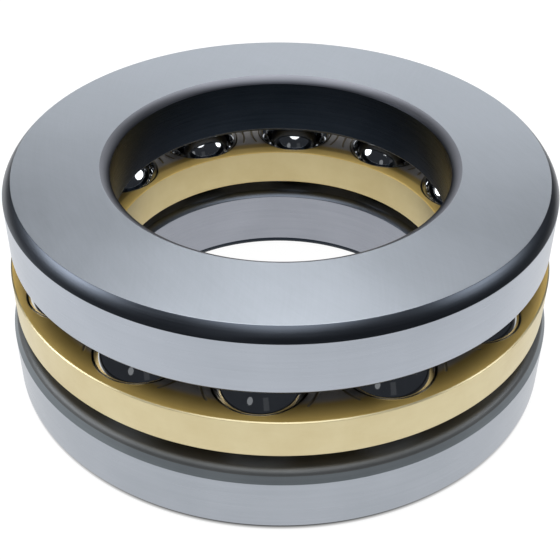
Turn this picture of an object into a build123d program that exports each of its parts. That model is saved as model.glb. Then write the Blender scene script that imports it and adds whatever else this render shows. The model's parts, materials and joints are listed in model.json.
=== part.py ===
"""Single-direction thrust ball bearing with a machined brass cage.

Pieces: a housing washer below, a shaft washer above, and between them a one-piece cage
that carries twelve balls.  Each piece is one solid in its own STEP file.

Frame: millimetres, +Z up along the bearing axis, origin on the axis at the housing
washer's seat face.  The nearest ball to -Y is ball_01, and the numbers run
counterclockwise seen from above.
"""
from build123d import *
import math
import os

# ---- driving dimensions ----------------------------------------------------------------
SHAFT_BORE = 150.0            # bore of the shaft washer, gripped by the shaft
SHAFT_WASHER_OD = 242.0
HOUSING_BORE = 154.0          # bore of the housing washer, clear of the shaft
HOUSING_OD = 250.0            # seat in the housing
WASHER_THICKNESS = 31.5

BALL_DIAMETER = 41.275        # 1 5/8 inch
BALL_COUNT = 12
PITCH_DIAMETER = 198.0
FIRST_BALL_ANGLE = -94.3      # degrees from +X

GROOVE_DEPTH = 2.2
GROOVE_RADIUS = 0.53 * BALL_DIAMETER
ROLLING_GAP = 0.02            # between a ball and each groove bottom

CAGE_OD = 245.0
CAGE_ID = 153.2
CAGE_THICKNESS = 17.8
CAGE_DROP = 1.7               # the cage hangs this far below the ball centres
CAGE_OUTER_CHAMFER = 0.4
CAGE_INNER_CHAMFER = 0.4
POCKET_CLEARANCE = 0.25       # round each ball

STAKE_RADIUS = 23.4           # centre line of a staking groove, from the pocket's centre
STAKE_WIDTH = 1.1
STAKE_SPAN = 72.0             # degrees of arc

# Edges of the washers: (radial, axial) size of a turned round that the grinding of the face
# and of the cylinder has cut short, so it meets both at a crisp line.
SHAFT_SEAT_EDGE = (4.1, 5.5)
SHAFT_RACEWAY_EDGE = (3.0, 3.0)
SHAFT_SEAT_BORE_EDGE = (4.2, 3.0)
SHAFT_RACEWAY_BORE_EDGE = (5.0, 3.6)
HOUSING_SEAT_EDGE = (2.5, 2.5)
HOUSING_SEAT_BORE_EDGE = (0.9, 2.9)
HOUSING_RACEWAY_BORE_EDGE = (4.0, 2.2)
EDGE_BULGE = 0.06             # height of the round over its chord, as a share of the chord

# The housing washer's shoulder, on its raceway side: a bevel that runs into a round.
SHOULDER_DROP = 5.5           # from the face down to the cylinder
SHOULDER_ROUND = 3.6          # radius
SHOULDER_SLOPE = 66.0         # degrees from the face to the bevel

# ---- derived places --------------------------------------------------------------------
BALL_RADIUS = BALL_DIAMETER / 2
PITCH_RADIUS = PITCH_DIAMETER / 2
BALL_CENTRE_Z = WASHER_THICKNESS - GROOVE_DEPTH + ROLLING_GAP + BALL_RADIUS
TOTAL_HEIGHT = 2 * BALL_CENTRE_Z
POCKET_RADIUS = BALL_RADIUS + POCKET_CLEARANCE
CAGE_CENTRE_Z = BALL_CENTRE_Z - CAGE_DROP
CAGE_TOP_Z = CAGE_CENTRE_Z + CAGE_THICKNESS / 2


def edge_points(corner_r, corner_z, towards_r, towards_z, size):
    """Three points of the round at a corner of a half section: on the wall, middle, on the face.

    towards_r and towards_z are +1 or -1 and point from the corner into the metal.
    """
    radial, axial = size
    on_wall = (corner_r, corner_z + towards_z * axial)
    on_face = (corner_r + towards_r * radial, corner_z)
    middle = (
        (on_wall[0] + on_face[0]) / 2 - towards_r * axial * EDGE_BULGE,
        (on_wall[1] + on_face[1]) / 2 - towards_z * radial * EDGE_BULGE,
    )
    return on_wall, middle, on_face


def plain_rim(outer_r, top_z):
    """Draws the shaft washer's raceway side outer edge.  Gives its ends on wall and face."""
    points = edge_points(outer_r, top_z, -1, -1, SHAFT_RACEWAY_EDGE)
    ThreePointArc(*points)
    return points[0], points[2]


def shoulder_rim(outer_r, top_z):
    """Draws the housing washer's shoulder.  Gives its ends on wall and face."""
    slope = math.radians(SHOULDER_SLOPE)
    bevel_height = SHOULDER_DROP - SHOULDER_ROUND * (1 - math.cos(slope))
    centre_r = outer_r - bevel_height / math.tan(slope) - SHOULDER_ROUND * math.sin(slope)
    on_wall = (outer_r, top_z - SHOULDER_DROP)
    curve = [
        (centre_r + SHOULDER_ROUND * math.sin(t), top_z - SHOULDER_ROUND * (1 - math.cos(t)))
        for t in (slope, slope / 2, 0)
    ]
    Line(on_wall, curve[0])
    ThreePointArc(*curve)
    return on_wall, curve[2]


def washer(bore, outside, seat_outer, raceway_rim, seat_bore, raceway_bore):
    """A washer standing on its seat face at z = 0, with its raceway groove facing up.

    raceway_rim makes the outer edge at the raceway side.  The other edges are sizes.
    """
    inner_r, outer_r, top_z = bore / 2, outside / 2, WASHER_THICKNESS
    half_width = math.sqrt(GROOVE_RADIUS**2 - (GROOVE_RADIUS - GROOVE_DEPTH)**2)
    outer_lip = (PITCH_RADIUS + half_width, top_z)
    groove_bottom = (PITCH_RADIUS, top_z - GROOVE_DEPTH)
    inner_lip = (PITCH_RADIUS - half_width, top_z)
    seat_bore = edge_points(inner_r, 0, 1, 1, seat_bore)
    seat_rim = edge_points(outer_r, 0, -1, 1, seat_outer)
    raceway_bore = edge_points(inner_r, top_z, 1, -1, raceway_bore)
    with BuildSketch(Plane.XZ) as section:
        with BuildLine():
            rim_start, rim_end = raceway_rim(outer_r, top_z)
            for points in (seat_bore, seat_rim, raceway_bore):
                ThreePointArc(*points)
            ThreePointArc(outer_lip, groove_bottom, inner_lip)
            Line(seat_bore[2], seat_rim[2])
            Line(seat_rim[0], rim_start)
            Line(rim_end, outer_lip)
            Line(inner_lip, raceway_bore[2])
            Line(raceway_bore[0], seat_bore[0])
        make_face()
    return revolve(section.sketch, axis=Axis.Z)


def housing_washer():
    return washer(
        HOUSING_BORE, HOUSING_OD, HOUSING_SEAT_EDGE, shoulder_rim,
        HOUSING_SEAT_BORE_EDGE, HOUSING_RACEWAY_BORE_EDGE,
    )


def shaft_washer():
    """The upper washer, turned over so that its groove faces down."""
    upright = washer(
        SHAFT_BORE, SHAFT_WASHER_OD, SHAFT_SEAT_EDGE, plain_rim,
        SHAFT_SEAT_BORE_EDGE, SHAFT_RACEWAY_BORE_EDGE,
    )
    return Pos(0, 0, TOTAL_HEIGHT) * Rot(180, 0, 0) * upright


def ball_places():
    """Angle in degrees and centre of each ball, in order."""
    for index in range(BALL_COUNT):
        angle = FIRST_BALL_ANGLE + index * 360 / BALL_COUNT
        turn = math.radians(angle)
        centre = (PITCH_RADIUS * math.cos(turn), PITCH_RADIUS * math.sin(turn), BALL_CENTRE_Z)
        yield angle, centre


def cage_blank():
    """The turned brass ring before its pockets are made."""
    height = CAGE_THICKNESS
    inner_r, outer_r = CAGE_ID / 2, CAGE_OD / 2
    inner, outer = CAGE_INNER_CHAMFER, CAGE_OUTER_CHAMFER
    with BuildSketch(Plane.XZ) as section:
        with BuildLine():
            Polyline(
                (inner_r + inner, 0), (outer_r - outer, 0), (outer_r, outer),
                (outer_r, height - outer), (outer_r - outer, height),
                (inner_r + inner, height), (inner_r, height - inner), (inner_r, inner),
                close=True,
            )
        make_face()
    return Pos(0, 0, CAGE_CENTRE_Z - height / 2) * revolve(section.sketch, axis=Axis.Z)


def pocket(centre):
    """Space for one ball: round at both ends and straight over the cage's axial play."""
    play = 2 * CAGE_DROP
    high_end = Pos(*centre) * Sphere(POCKET_RADIUS)
    low_end = Pos(0, 0, -play) * high_end
    straight = Pos(centre[0], centre[1], centre[2] - play / 2) * Cylinder(POCKET_RADIUS, play)
    return high_end + straight + low_end


def staking_grooves(angle, centre):
    """Two arcs pressed into the cage's upper face, one on each side of a pocket."""
    here = Pos(centre[0], centre[1], CAGE_TOP_Z)
    arc = Torus(STAKE_RADIUS, STAKE_WIDTH / 2, major_angle=STAKE_SPAN)
    return [here * Rot(0, 0, angle + side - STAKE_SPAN / 2) * arc for side in (90, -90)]


def cage():
    body = cage_blank()
    for angle, centre in ball_places():
        body -= pocket(centre)
        for groove in staking_grooves(angle, centre):
            body -= groove
    return body


def main():
    os.makedirs("parts", exist_ok=True)
    pieces = {"housing_washer": housing_washer(), "shaft_washer": shaft_washer(), "cage": cage()}
    for index, (_, centre) in enumerate(ball_places(), start=1):
        pieces[f"ball_{index:02d}"] = Pos(*centre) * Sphere(BALL_RADIUS)
    for name, shape in pieces.items():
        shape.label = name
        export_step(shape, f"parts/{name}.step")


main()
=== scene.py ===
"""Looks of the thrust ball bearing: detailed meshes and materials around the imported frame.

Metres, +Z up along the bearing axis.  Sizes come from the frame where it has them.
"""

import json
import math

import bmesh
import bpy
import numpy as np
from mathutils import Matrix, Vector


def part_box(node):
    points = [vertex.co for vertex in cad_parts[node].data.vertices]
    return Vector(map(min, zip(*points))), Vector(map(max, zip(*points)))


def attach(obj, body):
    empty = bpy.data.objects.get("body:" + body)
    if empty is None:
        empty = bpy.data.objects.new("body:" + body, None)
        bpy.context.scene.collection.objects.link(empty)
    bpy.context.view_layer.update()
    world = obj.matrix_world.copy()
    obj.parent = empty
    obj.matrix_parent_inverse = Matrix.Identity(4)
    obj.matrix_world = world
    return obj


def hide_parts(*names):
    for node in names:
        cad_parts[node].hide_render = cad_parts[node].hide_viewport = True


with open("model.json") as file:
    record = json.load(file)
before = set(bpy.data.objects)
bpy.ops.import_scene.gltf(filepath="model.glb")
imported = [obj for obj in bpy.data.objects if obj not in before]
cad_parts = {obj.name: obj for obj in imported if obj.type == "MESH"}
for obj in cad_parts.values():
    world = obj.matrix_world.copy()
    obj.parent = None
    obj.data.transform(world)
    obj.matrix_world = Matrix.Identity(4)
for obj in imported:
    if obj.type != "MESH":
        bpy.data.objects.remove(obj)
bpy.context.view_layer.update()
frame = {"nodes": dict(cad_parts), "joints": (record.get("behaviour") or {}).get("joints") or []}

MM = 0.001

# ---- sizes read from the frame -----------------------------------------------------------


def reach(node):
    """Least and greatest distance of a CAD node from the Z axis."""
    points = np.array([v.co[:2] for v in frame["nodes"][node].data.vertices])
    distance = np.hypot(points[:, 0], points[:, 1])
    return float(distance.min()), float(distance.max())


ball_joints = [j for j in frame["joints"] if j["child"].startswith("ball_")]
BALL_COUNT = len(ball_joints)
PITCH_RADIUS = math.hypot(*ball_joints[0]["pos_m"][:2])
BALL_CENTRE_Z = ball_joints[0]["pos_m"][2]
ball_low, ball_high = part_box(ball_joints[0]["child"])
BALL_RADIUS = (ball_high.z - ball_low.z) / 2

# ---- sizes of the visible detail ---------------------------------------------------------
SHAFT_SEAT_EDGE = (4.1 * MM, 5.5 * MM)      # (radial, axial) size of each turned edge
SHAFT_RACEWAY_EDGE = (3.0 * MM, 3.0 * MM)
SHAFT_SEAT_BORE_EDGE = (4.2 * MM, 3.0 * MM)
SHAFT_RACEWAY_BORE_EDGE = (5.0 * MM, 3.6 * MM)
HOUSING_SEAT_EDGE = (2.5 * MM, 2.5 * MM)
HOUSING_SEAT_BORE_EDGE = (0.9 * MM, 2.9 * MM)
HOUSING_RACEWAY_BORE_EDGE = (4.0 * MM, 2.2 * MM)
EDGE_BULGE = 0.06                      # rise of a turned edge over its chord
SHOULDER_DROP = 5.5 * MM               # housing washer's shoulder, a round that runs into a bevel
SHOULDER_ROUND = 3.6 * MM
SHOULDER_SLOPE = math.radians(66)
GROOVE_DEPTH = 2.2 * MM
GROOVE_RADIUS = 1.06 * BALL_RADIUS
MICRO_EDGE = 0.15 * MM                 # softening where two surfaces meet

POCKET_CLEARANCE = 0.25 * MM
CAGE_DROP = 1.7 * MM
CAGE_OUTER_BREAK = (0.6 * MM, 0.4 * MM)
CAGE_INNER_BREAK = (0.35 * MM, 0.35 * MM)
STAKE_RADIUS = 23.4 * MM
STAKE_WIDTH = 0.42 * MM                # width of the pressed line
STAKE_DEPTH = 0.55 * MM
STAKE_BURR = 0.14 * MM
STAKE_HALF_SPAN = math.radians(36)
STAKE_FADE = math.radians(5)

LATHE_STEPS = 360
EDGE_STEPS = 8
BALL_FACE_STEPS = 36                   # quads along each side of a ball's six patches

LINE_PITCH = 0.3 * MM                  # width of a fine turned or ground line
BUMP_HEIGHT = 0.02 * MM

# Share of a broken edge's size, across the wall and down it, from the face to the wall.
BROKEN_EDGE = ((1.0, 0.0), (0.86, 0.08), (0.74, 0.2), (0.2, 0.74), (0.08, 0.86), (0.0, 1.0))

FLOOR_SIZE = 200.0
FLOOR_GLOW = 0.93
FLOOR_FADE_CENTRE = (-0.1, 0.28, 0.0)  # the floor's reflection fades out round this point
FLOOR_FADE = (0.42, 0.62)              # from full to none, in metres
RING_MIDDLE = 0.1015                   # middle of the band under the housing washer
RING_SHADE = (0.0215, 0.0235)          # half widths of the band: fully dark, and clear again

# ---- node helpers ------------------------------------------------------------------------


class Nodes:
    """Short calls that build one node tree."""

    def __init__(self, tree):
        self.tree = tree

    def add(self, kind, **settings):
        node = self.tree.nodes.new(kind)
        for key, value in settings.items():
            setattr(node, key, value)
        return node

    def feed(self, socket, value):
        """Sets a socket to a number or colour, or links another node's output to it."""
        if isinstance(value, bpy.types.NodeSocket):
            self.tree.links.new(value, socket)
        else:
            socket.default_value = value

    def math(self, operation, a, b=0.0):
        node = self.add("ShaderNodeMath", operation=operation)
        self.feed(node.inputs[0], a)
        self.feed(node.inputs[1], b)
        return node.outputs[0]

    def vector(self, operation, a, b=None):
        node = self.add("ShaderNodeVectorMath", operation=operation)
        self.feed(node.inputs[0], a)
        if b is not None:
            self.feed(node.inputs[3 if operation == "SCALE" else 1], b)
        return node.outputs["Value" if operation == "LENGTH" else "Vector"]

    def combine(self, x, y, z):
        node = self.add("ShaderNodeCombineXYZ")
        for socket, value in zip(node.inputs, (x, y, z)):
            self.feed(socket, value)
        return node.outputs[0]

    def split(self, vector):
        node = self.add("ShaderNodeSeparateXYZ")
        self.feed(node.inputs[0], vector)
        return node.outputs

    def noise(self, vector, scale, detail=2.0, roughness=0.5):
        node = self.add("ShaderNodeTexNoise")
        self.feed(node.inputs["Vector"], vector)
        node.inputs["Scale"].default_value = scale
        node.inputs["Detail"].default_value = detail
        node.inputs["Roughness"].default_value = roughness
        return node.outputs["Fac"]

    def spread(self, value, low, high, out_low, out_high, smooth=False):
        """Maps low..high to out_low..out_high, and holds the ends."""
        node = self.add("ShaderNodeMapRange", clamp=True)
        if smooth:
            node.interpolation_type = "SMOOTHSTEP"
        for socket, number in zip(node.inputs, (value, low, high, out_low, out_high)):
            self.feed(socket, number)
        return node.outputs[0]

    def blend(self, share, first, second):
        """Mixes two colours."""
        node = self.add("ShaderNodeMix", data_type="RGBA")
        self.feed(node.inputs[0], share)
        self.feed(node.inputs[6], first)
        self.feed(node.inputs[7], second)
        return node.outputs[2]

    def bump(self, height, strength, distance):
        node = self.add("ShaderNodeBump")
        node.inputs["Strength"].default_value = strength
        node.inputs["Distance"].default_value = distance
        self.feed(node.inputs["Height"], height)
        return node.outputs[0]


def metal(name, anisotropy=0.0):
    """A new metal: its material, its tree's helper and its shader.

    Anisotropy is for lines round the axis: light spreads across them.
    """
    material = bpy.data.materials.new(name)
    material.use_nodes = True
    tree = Nodes(material.node_tree)
    shader = material.node_tree.nodes["Principled BSDF"]
    shader.inputs["Metallic"].default_value = 1.0
    if anisotropy:
        shader.inputs["Anisotropic"].default_value = anisotropy
        shader.inputs["Anisotropic Rotation"].default_value = 0.25
        tangent = tree.add("ShaderNodeTangent", direction_type="RADIAL", axis="Z")
        tree.feed(shader.inputs["Tangent"], tangent.outputs[0])
    return material, tree, shader


def place(tree):
    """Object coordinates."""
    return tree.add("ShaderNodeTexCoord").outputs["Object"]


def round_lines(tree, point, pitch, along, centre=(0.0, 0.0)):
    """Fine noise drawn out into circles about a centre, as a turning or grinding tool leaves.

    pitch is the width of a line in metres, along how many cells a line has per turn.
    """
    moved = tree.vector("SUBTRACT", point, (centre[0], centre[1], 0.0))
    x, y, z = tree.split(moved)
    flat = tree.combine(x, y, 0.0)
    across = tree.math("ADD", tree.vector("LENGTH", flat), tree.math("MULTIPLY", z, 1.7))
    direction = tree.split(tree.vector("NORMALIZE", flat))
    where = tree.combine(
        tree.math("DIVIDE", across, pitch),
        tree.math("MULTIPLY", direction[0], along),
        tree.math("MULTIPLY", direction[1], along),
    )
    return tree.noise(where, 1.0, detail=3.0, roughness=0.6)


# ---- materials ---------------------------------------------------------------------------


def ground_face():
    """The ground seat face: satin, with faint crossing arcs and a few fine scratches."""
    material, tree, shader = metal("ground_face", anisotropy=0.46)
    point = place(tree)
    rings = round_lines(tree, point, 0.5 * MM, 6.0)
    arcs = round_lines(tree, point, 0.9 * MM, 9.0, centre=(0.16, 0.05))
    cross_arcs = round_lines(tree, point, 1.1 * MM, 9.0, centre=(-0.15, -0.09))
    marks = tree.math("ADD", tree.math("MULTIPLY", arcs, 0.5), tree.math("MULTIPLY", cross_arcs, 0.5))
    patches = tree.noise(point, 22.0, detail=3.0)
    tone = tree.math("ADD", tree.math("MULTIPLY", marks, 0.6), tree.math("MULTIPLY", patches, 0.4))
    colour = tree.blend(
        tree.spread(tone, 0.35, 0.65, 0.0, 1.0),
        (0.41, 0.44, 0.48, 1.0),
        (0.45, 0.48, 0.525, 1.0),
    )
    tree.feed(shader.inputs["Base Color"], colour)
    tree.feed(shader.inputs["Roughness"], tree.spread(tone, 0.3, 0.7, 0.31, 0.39))
    height = tree.math("ADD", rings, marks)
    tree.feed(shader.inputs["Normal"], tree.bump(height, 0.25, BUMP_HEIGHT))
    return material


def round_steel(name, dark, light, roughness, anisotropy=0.0, bump=0.25, fade=None):
    """Steel with fine lines that run round the axis, over slow changes of tone.

    fade is (low z, high z, colour): painted shade, the steel has its own tone at the high z and turns
    to this colour below.
    """
    material, tree, shader = metal(name, anisotropy)
    point = place(tree)
    lines = round_lines(tree, point, LINE_PITCH, 2.5)
    bands = round_lines(tree, point, 8 * LINE_PITCH, 1.5)
    patches = tree.noise(point, 32.0, detail=3.0)
    tone = tree.math("ADD", tree.math("MULTIPLY", bands, 0.4), tree.math("MULTIPLY", patches, 0.6))
    colour = tree.blend(tree.spread(tone, 0.35, 0.65, 0.0, 1.0), dark + (1.0,), light + (1.0,))
    # Painted shade: the colour turns darker towards the low z.
    if fade:
        share = tree.spread(tree.split(point)[2], fade[0], fade[1], 0.0, 1.0)
        colour = tree.blend(share, fade[2] + (1.0,), colour)
    low, high = roughness
    tree.feed(shader.inputs["Base Color"], colour)
    tree.feed(shader.inputs["Roughness"], tree.spread(lines, 0.3, 0.7, low, high))
    tree.feed(shader.inputs["Normal"], tree.bump(lines, bump, BUMP_HEIGHT))
    return material


def steel_sets():
    """Steels for the zones of the housing washer and of the shaft washer."""
    face = ground_face()
    rim = round_steel("ground_rim", (0.405, 0.437, 0.488), (0.445, 0.477, 0.532), (0.27, 0.35), 0.4)
    # Painted shade: a darker copy of the rim steel for the lower washer's bore, standing in for the
    # shaded floor it mirrors.
    bore = round_steel("ground_bore_shaded", (0.29, 0.305, 0.345), (0.33, 0.345, 0.39), (0.27, 0.35), 0.4)
    honed = round_steel("honed_groove", (0.47, 0.49, 0.52), (0.54, 0.56, 0.59), (0.12, 0.2), bump=0.15)
    shoulder = round_steel("turned_shoulder", (0.05, 0.05, 0.05), (0.08, 0.08, 0.08), (0.36, 0.48))
    edge = round_steel("turned_edge", (0.085, 0.097, 0.118), (0.105, 0.118, 0.142), (0.3, 0.38))
    top_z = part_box("shaft_washer")[1].z
    # Painted shade: the shaft washer's bore edge darkens towards the bore, nearly to black.
    lead = round_steel(
        "bore_edge", (0.22, 0.225, 0.25), (0.26, 0.265, 0.295), (0.38, 0.46),
        fade=(top_z - 2.6 * MM, top_z, (0.035, 0.037, 0.045)),
    )
    # Painted shade: near-black steel for the shaft washer's bore and the lower washer's bottom bore
    # edge, standing in for the shade inside the bore.
    painted_dark_bore = round_steel("painted_dark_bore", (0.012, 0.017, 0.024), (0.02, 0.026, 0.035), (0.25, 0.36))
    # Painted shade: a darker copy of the rim steel for the lower washer's outer wall, for the shade
    # near the floor.
    seat_rim = round_steel("seat_rim", (0.35, 0.378, 0.418), (0.387, 0.414, 0.458), (0.27, 0.35), 0.4)
    step = round_steel("dull_shoulder", (0.15, 0.156, 0.158), (0.18, 0.186, 0.188), (0.5, 0.58))
    slate = round_steel("slate_bevel", (0.21, 0.235, 0.255), (0.26, 0.29, 0.31), (0.46, 0.54))
    return (
        [face, seat_rim, edge, step, honed, bore, painted_dark_bore, slate],
        [face, rim, edge, shoulder, honed, painted_dark_bore, lead],
    )


def ball_steel():
    """Polished chrome steel with the finest of wear marks."""
    material, tree, shader = metal("ball_steel")
    point = place(tree)
    haze = tree.noise(point, 160.0, detail=4.0, roughness=0.6)
    stretched = tree.vector("MULTIPLY", point, (1.0, 9.0, 1.0))
    hairs = tree.noise(stretched, 700.0, detail=2.0)
    colour = tree.blend(
        tree.spread(haze, 0.35, 0.65, 0.0, 1.0),
        (0.56, 0.575, 0.59, 1.0),
        (0.62, 0.635, 0.65, 1.0),
    )
    tree.feed(shader.inputs["Base Color"], colour)
    tree.feed(shader.inputs["Roughness"], tree.spread(haze, 0.3, 0.7, 0.035, 0.075))
    tree.feed(shader.inputs["Normal"], tree.bump(hairs, 0.04, 0.005 * MM))
    return material


def brass(name, pale, dull, roughness, metallic=1.0, anisotropy=0.3, painted_shade_grey=None):
    """Turned brass: fine lines round the axis and a slight uneven tarnish.

    The optional grey is painted shade and reflection: it is laid over the band between the pockets,
    where the face lies in shade and mirrors the shaft washer's grey steel. With it, the face is also
    painted darker towards the pockets than at its two rims.
    """
    material, tree, shader = metal(name, anisotropy)
    shader.inputs["Metallic"].default_value = metallic
    point = place(tree)
    lines = round_lines(tree, point, LINE_PITCH, 3.0)
    tarnish = tree.noise(point, 38.0, detail=4.0, roughness=0.6)
    colour = tree.blend(tree.spread(tarnish, 0.35, 0.68, 0.0, 1.0), pale + (1.0,), dull + (1.0,))
    # Painted shade and reflection: darker near the pockets, grey in the band between them.
    if painted_shade_grey:
        radius = tree.vector("LENGTH", tree.vector("MULTIPLY", point, (1.0, 1.0, 0.0)))
        off_pitch = tree.math("SUBTRACT", radius, PITCH_RADIUS)
        band = tree.spread(tree.math("ABSOLUTE", off_pitch), 11 * MM, 15 * MM, 1.0, 0.0, smooth=True)
        outward = tree.spread(off_pitch, 15 * MM, 21 * MM, 0.6, 1.0)
        inward = tree.spread(off_pitch, -18 * MM, -14 * MM, 1.0, 0.0, smooth=True)
        colour = tree.vector("SCALE", colour, tree.math("MAXIMUM", outward, inward))
        colour = tree.blend(band, colour, painted_shade_grey + (1.0,))
        tree.feed(shader.inputs["Metallic"], tree.spread(inward, 0.0, 1.0, metallic, 0.1))
    low, high = roughness
    tree.feed(shader.inputs["Base Color"], colour)
    tree.feed(shader.inputs["Roughness"], tree.spread(lines, 0.3, 0.7, low, high))
    tree.feed(shader.inputs["Normal"], tree.bump(lines, 0.3, BUMP_HEIGHT))
    return material


def brass_set():
    """Brass for the cage's zones, in the order of their numbers."""
    return [
        brass("brass_rim", (0.70, 0.615, 0.385), (0.645, 0.55, 0.325), (0.34, 0.44)),
        # The flat faces carry painted shade near the pockets and a painted grey reflection between
        # them.
        brass(
            "brass_face", (0.82, 0.585, 0.18), (0.75, 0.515, 0.15), (0.4, 0.5), 0.6, 0.0,
            painted_shade_grey=(0.40, 0.38, 0.37),
        ),
        # Painted shade: a darker copy of the rim brass for the cage's inner wall, which faces the
        # shaded hole.
        brass("brass_bore_shaded", (0.62, 0.52, 0.285), (0.56, 0.455, 0.235), (0.34, 0.44)),
        # Painted shade: dark brass for the pocket walls, which lie in shade round the balls.
        brass("brass_pocket_shaded", (0.27, 0.23, 0.165), (0.21, 0.175, 0.12), (0.28, 0.38), 1.0, 0.0),
        # Painted shade: dark brass in the staked grooves, standing in for their shadows.
        brass("brass_stake_shaded", (0.34, 0.29, 0.20), (0.26, 0.22, 0.15), (0.5, 0.6), 0.8, 0.0),
    ]


# ---- meshes ------------------------------------------------------------------------------


def new_piece(mesh, body, materials, centre=(0.0, 0.0, 0.0)):
    """Links a mesh as a piece that rides on a body and stands for the CAD node of its name."""
    piece = bpy.data.objects.new(mesh.name, mesh)
    bpy.context.scene.collection.objects.link(piece)
    piece.location = centre
    for material in materials:
        mesh.materials.append(material)
    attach(piece, body)
    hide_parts(body)


def arc_points(start, middle, end, steps):
    """Points of the circle through three points, from start to end."""
    (ax, ay), (bx, by), (cx, cy) = start, middle, end
    d = 2 * (ax * (by - cy) + bx * (cy - ay) + cx * (ay - by))
    a2, b2, c2 = ax * ax + ay * ay, bx * bx + by * by, cx * cx + cy * cy
    ux = (a2 * (by - cy) + b2 * (cy - ay) + c2 * (ay - by)) / d
    uy = (a2 * (cx - bx) + b2 * (ax - cx) + c2 * (bx - ax)) / d
    radius = math.hypot(ax - ux, ay - uy)
    first = math.atan2(ay - uy, ax - ux)
    sweep = (math.atan2(cy - uy, cx - ux) - first + math.pi) % (2 * math.pi) - math.pi
    angles = [first + sweep * i / steps for i in range(steps + 1)]
    return [(ux + radius * math.cos(a), uy + radius * math.sin(a)) for a in angles]


def edge_points(corner_r, corner_z, towards_r, towards_z, size):
    """The round at a corner of a half section, from the wall to the face."""
    radial, axial = size
    on_wall = (corner_r, corner_z + towards_z * axial)
    on_face = (corner_r + towards_r * radial, corner_z)
    middle = (
        (on_wall[0] + on_face[0]) / 2 - towards_r * axial * EDGE_BULGE,
        (on_wall[1] + on_face[1]) / 2 - towards_z * radial * EDGE_BULGE,
    )
    return arc_points(on_wall, middle, on_face, EDGE_STEPS)


def trimmed(points, amount):
    """A run of points cut short by amount at both ends, with a second point close to each end."""
    def step(a, b, length):
        share = length / math.dist(a, b)
        return (a[0] + (b[0] - a[0]) * share, a[1] + (b[1] - a[1]) * share)

    head = [step(points[0], points[1], amount), step(points[0], points[1], 2 * amount)]
    tail = [step(points[-1], points[-2], 2 * amount), step(points[-1], points[-2], amount)]
    return head + points[1:-1] + tail


def soft_outline(runs):
    """Joins runs of (r, z) points end to end with a tiny round at each joint.

    Gives the closed outline, and for each of its spans the number of the material there.
    """
    outline, zones = [], []
    cut = [(trimmed(points, MICRO_EDGE), zone) for points, zone in runs]
    for index, (points, zone) in enumerate(cut):
        outline += points
        zones += [zone] * len(points)
        corner = runs[index][0][-1]
        following = cut[(index + 1) % len(cut)][0][0]
        for share in (0.25, 0.5, 0.75):
            a, b, c = (1 - share) ** 2, 2 * share * (1 - share), share**2
            outline.append(tuple(
                a * points[-1][k] + b * corner[k] + c * following[k] for k in range(2)
            ))
            zones.append(zone if share < 0.5 else runs[(index + 1) % len(runs)][1])
    return outline, zones


def lathe(name, outline, zones):
    """A ring mesh: a closed (r, z) outline turned round Z."""
    count = len(outline)
    turn = np.arange(LATHE_STEPS) * 2 * math.pi / LATHE_STEPS
    section = np.array(outline)
    points = np.stack([
        np.outer(np.cos(turn), section[:, 0]),
        np.outer(np.sin(turn), section[:, 0]),
        np.outer(np.ones(LATHE_STEPS), section[:, 1]),
    ], axis=-1).reshape(-1, 3)
    faces, numbers = [], []
    for i in range(LATHE_STEPS):
        here, there = i * count, (i + 1) % LATHE_STEPS * count
        for j in range(count):
            k = (j + 1) % count
            faces.append((here + j, there + j, there + k, here + k))
            numbers.append(zones[j])
    mesh = bpy.data.meshes.new(name)
    mesh.from_pydata(points.tolist(), [], faces)
    mesh.polygons.foreach_set("material_index", numbers)
    return tidy_mesh(mesh)


def tidy_mesh(mesh):
    """Turns all faces outwards and shades the mesh smooth."""
    work = bmesh.new()
    work.from_mesh(mesh)
    bmesh.ops.remove_doubles(work, verts=work.verts, dist=0.002 * MM)
    bmesh.ops.recalc_face_normals(work, faces=work.faces)
    work.to_mesh(mesh)
    work.free()
    mesh.polygons.foreach_set("use_smooth", [True] * len(mesh.polygons))
    mesh.update()
    return mesh


FACE, RIM, EDGE, SHOULDER, GROOVE, BORE, LEAD, BEVEL = range(8)


def housing_shoulder(outer_r, thickness):
    """The housing washer's shoulder: a bevel up from the wall, then a round onto the face."""
    drop = SHOULDER_DROP - SHOULDER_ROUND * (1 - math.cos(SHOULDER_SLOPE))
    bevel_r = outer_r - drop / math.tan(SHOULDER_SLOPE)
    centre_r = bevel_r - SHOULDER_ROUND * math.sin(SHOULDER_SLOPE)
    tilts = [SHOULDER_SLOPE * (1 - i / 12) for i in range(13)]
    curve = [
        (centre_r + SHOULDER_ROUND * math.sin(t), thickness - SHOULDER_ROUND * (1 - math.cos(t)))
        for t in tilts
    ]
    return [([(outer_r, thickness - SHOULDER_DROP), curve[0]], BEVEL), (curve, SHOULDER)]


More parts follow.
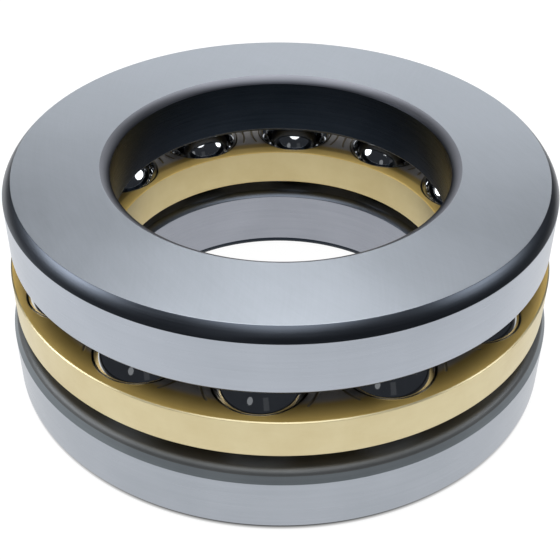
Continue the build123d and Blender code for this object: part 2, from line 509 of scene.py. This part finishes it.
def washer_outline(inner_r, outer_r, thickness, seat_outer, raceway_rim, seat_bore, raceway_bore):
    """Half section of a washer standing on its seat face, with its groove facing up.

    raceway_rim is the finished runs of points, with their zones, from the wall to the raceway
    side's face.  The other edges are sizes.
    """
    half_width = math.sqrt(GROOVE_RADIUS**2 - (GROOVE_RADIUS - GROOVE_DEPTH)**2)
    outer_lip = (PITCH_RADIUS + half_width, thickness)
    inner_lip = (PITCH_RADIUS - half_width, thickness)
    groove = arc_points(outer_lip, (PITCH_RADIUS, thickness - GROOVE_DEPTH), inner_lip, 24)
    seat_bore = edge_points(inner_r, 0, 1, 1, seat_bore)
    seat_rim = edge_points(outer_r, 0, -1, 1, seat_outer)[::-1]
    raceway_bore = edge_points(inner_r, thickness, 1, -1, raceway_bore)[::-1]
    return soft_outline([
        (seat_bore, LEAD),
        ([seat_bore[-1], seat_rim[0]], FACE),
        (seat_rim, EDGE),
        ([seat_rim[-1], raceway_rim[0][0][0]], RIM),
        *raceway_rim,
        ([raceway_rim[-1][0][-1], outer_lip], SHOULDER),
        (groove, GROOVE),
        ([inner_lip, raceway_bore[0]], SHOULDER),
        (raceway_bore, EDGE),
        ([raceway_bore[-1], seat_bore[0]], BORE),
    ])


def make_housing_washer(materials):
    low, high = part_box("housing_washer")
    inner_r, outer_r = reach("housing_washer")
    thickness = high.z - low.z
    outline, zones = washer_outline(
        inner_r, outer_r, thickness, HOUSING_SEAT_EDGE, housing_shoulder(outer_r, thickness),
        HOUSING_SEAT_BORE_EDGE, HOUSING_RACEWAY_BORE_EDGE,
    )
    new_piece(lathe("housing_ring", outline, zones), "housing_washer", materials)


def make_shaft_washer(materials):
    low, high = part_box("shaft_washer")
    inner_r, outer_r = reach("shaft_washer")
    thickness = high.z - low.z
    raceway_rim = [(edge_points(outer_r, thickness, -1, -1, SHAFT_RACEWAY_EDGE), EDGE)]
    outline, zones = washer_outline(
        inner_r, outer_r, thickness, SHAFT_SEAT_EDGE, raceway_rim,
        SHAFT_SEAT_BORE_EDGE, SHAFT_RACEWAY_BORE_EDGE,
    )
    outline = [(r, high.z - z) for r, z in outline]
    new_piece(lathe("shaft_ring", outline, zones), "shaft_washer", materials)


def quad_sphere(name, radius):
    """A ball of even quads, from a cube's faces blown up to a sphere."""
    steps = BALL_FACE_STEPS
    line = np.tan(np.linspace(-math.pi / 4, math.pi / 4, steps + 1))
    points, faces = [], []
    for axis in range(3):
        for sign in (-1.0, 1.0):
            base = len(points)
            for a in line:
                for b in line:
                    point = np.roll(np.array([sign, a, b]), axis)
                    points.append(tuple(point / np.linalg.norm(point) * radius))
            for i in range(steps):
                for j in range(steps):
                    k = base + i * (steps + 1) + j
                    faces.append((k, k + 1, k + steps + 2, k + steps + 1))
    mesh = bpy.data.meshes.new(name)
    mesh.from_pydata(points, [], faces)
    return tidy_mesh(mesh)


def make_balls(material):
    """One mesh for each ball, turned its own way so that no two show the same marks."""
    for index, joint in enumerate(ball_joints):
        body = joint["child"]
        mesh = quad_sphere(body + "_polished", BALL_RADIUS)
        mesh.transform(Matrix.Rotation(1.7 * index, 4, "Z") @ Matrix.Rotation(0.9 * index, 4, "X"))
        new_piece(mesh, body, [material], joint["pos_m"])


# ---- cage --------------------------------------------------------------------------------


OUTSIDE, FLAT, INSIDE, POCKET, STAKE = range(5)


def smooth_fade(value, start, end):
    """1 below start, 0 above end, and smooth between."""
    share = min(1.0, max(0.0, (value - start) / (end - start)))
    return 1 - share * share * (3 - 2 * share)


def stake_height(distance, angle):
    """Height of the staked line at a distance and an angle round a pocket's centre."""
    from_tangent = abs(abs(angle) - math.pi / 2)
    window = smooth_fade(from_tangent, STAKE_HALF_SPAN - STAKE_FADE, STAKE_HALF_SPAN)
    if window == 0.0:
        return 0.0

    def hump(centre, width):
        return math.exp(-((distance - centre) / width) ** 2)

    burrs = hump(STAKE_RADIUS - 1.9 * STAKE_WIDTH, STAKE_WIDTH)
    burrs += hump(STAKE_RADIUS + 1.9 * STAKE_WIDTH, STAKE_WIDTH)
    return window * (STAKE_BURR * burrs - STAKE_DEPTH * hump(STAKE_RADIUS, STAKE_WIDTH))


def sector_border(inner_r, outer_r):
    """Points once round one pocket's share of the ring, as (x, y, side) with the pocket on +X."""
    half = math.pi / BALL_COUNT
    arc_steps, side_steps = 44, 52
    border = []
    for i in range(arc_steps):
        angle = -half + 2 * half * i / arc_steps
        border.append((outer_r * math.cos(angle), outer_r * math.sin(angle), "outer"))
    for i in range(side_steps):
        r = outer_r + (inner_r - outer_r) * i / side_steps
        border.append((r * math.cos(half), r * math.sin(half), "outer" if i == 0 else "side"))
    for i in range(arc_steps):
        angle = half - 2 * half * i / arc_steps
        border.append((inner_r * math.cos(angle), inner_r * math.sin(angle), "inner"))
    for i in range(side_steps):
        r = inner_r + (outer_r - inner_r) * i / side_steps
        border.append((r * math.cos(half), -r * math.sin(half), "inner" if i == 0 else "side"))
    return border


def pocket_wall(bottom_z, top_z):
    """(radius, z) down the inside of a pocket, from the upper lip to the lower one."""
    radius = BALL_RADIUS + POCKET_CLEARANCE
    low_centre = BALL_CENTRE_Z - 2 * CAGE_DROP
    deburr = 0.3 * MM

    def at(z):
        away = max(0.0, z - BALL_CENTRE_Z, low_centre - z)
        return math.sqrt(radius**2 - away**2)

    heights = np.linspace(top_z - deburr, bottom_z + deburr, 15)
    wall = [(at(z), z) for z in heights]
    return [(wall[0][0] + deburr, top_z)] + wall + [(wall[-1][0] + deburr, bottom_z)]


def row_distances(lip, border, marked):
    """Distances from a pocket's centre for one line of the cage's flat face."""
    reach_of_marks = 25.0 * MM
    if marked:
        targets = [0.4, 1.2, 1.9, 2.3] + [2.55 + 0.17 * i for i in range(12)] + [4.9]
    else:
        targets = [0.6, 2.0, 4.0]
    squeeze = min(1.0, (border - lip - 0.5 * MM) / (reach_of_marks - lip))
    rows = [lip] + [lip + t * MM * squeeze for t in targets]
    last = rows[-1]
    rows += [last + (border - last) * share for share in (0.4, 0.75)]
    return rows + [border]


def cage_mesh(name):
    low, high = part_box("cage")
    inner_r, outer_r = reach("cage")
    flat_in, flat_out = inner_r + CAGE_INNER_BREAK[0], outer_r - CAGE_OUTER_BREAK[0]
    wall = pocket_wall(low.z, high.z)
    stake_bed = high.z - 0.2 * MM
    points, faces, numbers = [], [], []

    def top_zone(face, row, rows):
        return STAKE if min(points[k][2] for k in face) < stake_bed else FLAT

    def inner_zone(face, row, rows):
        edge_rows = len(BROKEN_EDGE) - 1
        return INSIDE if edge_rows <= row < rows - edge_rows else FLAT

    zones = {
        "top": top_zone, "bottom": lambda *_: FLAT, "wall": lambda *_: POCKET,
        "outer": lambda *_: OUTSIDE, "inner": inner_zone,
    }

    def strip(columns, closed, zone):
        """Faces between neighbouring columns of points, each column a list of (x, y, z)."""
        first = len(points)
        rows = len(columns[0])
        for column in columns:
            points.extend(column)
        count = len(columns)
        for i in range(count if closed else count - 1):
            here, there = first + i * rows, first + (i + 1) % count * rows
            for j in range(rows - 1):
                face = (here + j, there + j, there + j + 1, here + j + 1)
                faces.append(face)
                numbers.append(zone(face, j, rows - 1))

    def broken_wall(x, y, radius, size, inward):
        """Column down the outer or inner wall, with its edges broken."""
        direction = Vector((x, y)).normalized()
        profile = [(size[0] * across, high.z - size[1] * down) for across, down in BROKEN_EDGE]
        profile.append((0.0, high.z - 1.3 * size[1]))
        profile += [(d, low.z + high.z - z) for d, z in profile[::-1]]
        return [
            (direction.x * (radius + inward * d), direction.y * (radius + inward * d), z)
            for d, z in profile
        ]

    columns = {"top": [], "bottom": [], "wall": []}
    border = sector_border(flat_in, flat_out)
    for x, y, _ in border:
        away = math.hypot(x - PITCH_RADIUS, y)
        angle = math.atan2(y, x - PITCH_RADIUS)
        ux, uy = math.cos(angle), math.sin(angle)

        def at(distance, z):
            return (PITCH_RADIUS + ux * distance, uy * distance, z)

        upper = row_distances(wall[0][0], away, True)
        lower = row_distances(wall[-1][0], away, False)
        columns["top"].append([at(d, high.z + stake_height(d, angle)) for d in upper])
        columns["wall"].append([at(r, z) for r, z in wall])
        columns["bottom"].append([at(d, low.z) for d in lower])
    arc = [i for i, b in enumerate(border) if b[2] == "outer"]
    columns["outer"] = [broken_wall(*border[i][:2], outer_r, CAGE_OUTER_BREAK, -1) for i in arc]
    arc = [i for i, b in enumerate(border) if b[2] == "inner"]
    columns["inner"] = [broken_wall(*border[i][:2], inner_r, CAGE_INNER_BREAK, 1) for i in arc]

    for joint in ball_joints:
        turn = math.atan2(joint["pos_m"][1], joint["pos_m"][0])
        c, s = math.cos(turn), math.sin(turn)
        for kind, group in columns.items():
            turned = [[(c * x - s * y, s * x + c * y, z) for x, y, z in col] for col in group]
            strip(turned, kind in ("top", "bottom", "wall"), zones[kind])
    mesh = bpy.data.meshes.new(name)
    mesh.from_pydata(points, [], faces)
    mesh.polygons.foreach_set("material_index", numbers)
    return tidy_mesh(mesh)


def make_cage(materials):
    new_piece(cage_mesh("cage_turned"), "cage", materials)


# ---- stage -------------------------------------------------------------------------------


def make_floor():
    """A pale floor that glows evenly, so that no shadow shows on it.

    Reflected in the metal it fades out away from the bearing, as a small table's paper does.
    It is dark in the band that the housing washer covers: a painted shadow under the washer.
    """
    bpy.ops.mesh.primitive_plane_add(size=FLOOR_SIZE, location=(0, 0, 0))
    floor = bpy.context.object
    floor.name = "floor"
    material = bpy.data.materials.new("pale_table")
    material.use_nodes = True
    tree = Nodes(material.node_tree)
    shader = material.node_tree.nodes["Principled BSDF"]
    shader.inputs["Roughness"].default_value = 0.9
    shader.inputs["Emission Color"].default_value = (1.0, 1.0, 1.0, 1.0)
    offset = tree.vector("SUBTRACT", place(tree), FLOOR_FADE_CENTRE)
    away = tree.vector("LENGTH", tree.vector("MULTIPLY", offset, (1.0, 0.78, 1.0)))
    near = tree.spread(away, *FLOOR_FADE, 1.0, 0.0, smooth=True)
    shown = tree.math("MAXIMUM", near, tree.add("ShaderNodeLightPath").outputs["Is Camera Ray"])
    # Painted shadow: the floor is dark under the housing washer.
    radius = tree.vector("LENGTH", place(tree))
    under = tree.math("ABSOLUTE", tree.math("SUBTRACT", radius, RING_MIDDLE))
    shown = tree.math("MULTIPLY", shown, tree.spread(under, *RING_SHADE, 0.0, 1.0))
    colour = tree.blend(shown, (0.02, 0.02, 0.02, 1.0), (0.12, 0.12, 0.12, 1.0))
    tree.feed(shader.inputs["Base Color"], colour)
    tree.feed(shader.inputs["Emission Strength"], tree.math("MULTIPLY", shown, FLOOR_GLOW))
    floor.data.materials.append(material)


def area_light(name, place_at, aim, size, power, colour, oval=False):
    light = bpy.data.lights.new(name, "AREA")
    light.shape = "ELLIPSE" if oval else "RECTANGLE"
    light.size, light.size_y = size
    light.energy = power
    light.color = colour
    lamp = bpy.data.objects.new(name, light)
    lamp.location = place_at
    lamp.rotation_euler = (Vector(aim) - Vector(place_at)).to_track_quat("-Z", "Y").to_euler()
    bpy.context.scene.collection.objects.link(lamp)


def make_lights():
    """Soft lights behind, overhead and at both sides, in a dim room."""
    cool = (0.97, 0.985, 1.0)
    area_light("back_softbox", (0.144, 1.31, 0.60), (0, 0, 0.1), (2.4, 0.46), 4.9, cool)
    area_light("high_softbox", (-0.02, 0.81, 0.98), (0, 0, 0.1), (1.2, 0.29), 0.91, cool)
    area_light("top_softbox", (-0.02, -0.15, 1.15), (-0.02, -0.15, 0.0), (1.02, 2.1), 13.3, cool, True)
    area_light("right_softbox", (1.0, -0.06, 0.70), (0, 0, 0.06), (0.66, 0.46), 2.8, cool, True)
    area_light("left_softbox", (-1.0, 0.0, 0.68), (0, 0, 0.06), (0.70, 0.52), 4.8, cool, True)
    area_light("front_lamp", (-0.35, -0.90, 0.45), (0, 0, 0.06), (0.20, 0.3), 0.04, cool, True)
    area_light("front_strip", (0.22, -1.0, 0.38), (0, 0, 0.06), (0.2, 0.5), 0.012, cool)
    world = bpy.data.worlds.new("studio")
    bpy.context.scene.world = world
    world.use_nodes = True
    background = world.node_tree.nodes["Background"]
    background.inputs["Color"].default_value = (0.032, 0.035, 0.041, 1.0)


def make_camera():
    """Looks down at the front of the bearing."""
    distance, elevation, roll = 0.5186, math.radians(37.09), math.radians(0.43)
    aim = Vector((0, 0, 0.0317))
    camera = bpy.data.objects.new("camera", bpy.data.cameras.new("camera"))
    bpy.context.scene.collection.objects.link(camera)
    camera.data.lens = 69.8
    camera.data.sensor_width = 36.0
    back = Vector((0, -math.cos(elevation), math.sin(elevation)))
    turn = Matrix.Rotation(math.pi / 2 - elevation, 4, "X") @ Matrix.Rotation(roll, 4, "Z")
    camera.matrix_world = Matrix.Translation(aim + back * distance) @ turn
    bpy.context.scene.camera = camera


def main():
    housing_steel, shaft_steel = steel_sets()
    make_housing_washer(housing_steel)
    make_shaft_washer(shaft_steel)
    make_cage(brass_set())
    make_balls(ball_steel())
    make_floor()
    make_lights()
    make_camera()
    bpy.context.scene.view_settings.view_transform = "Standard"


main()
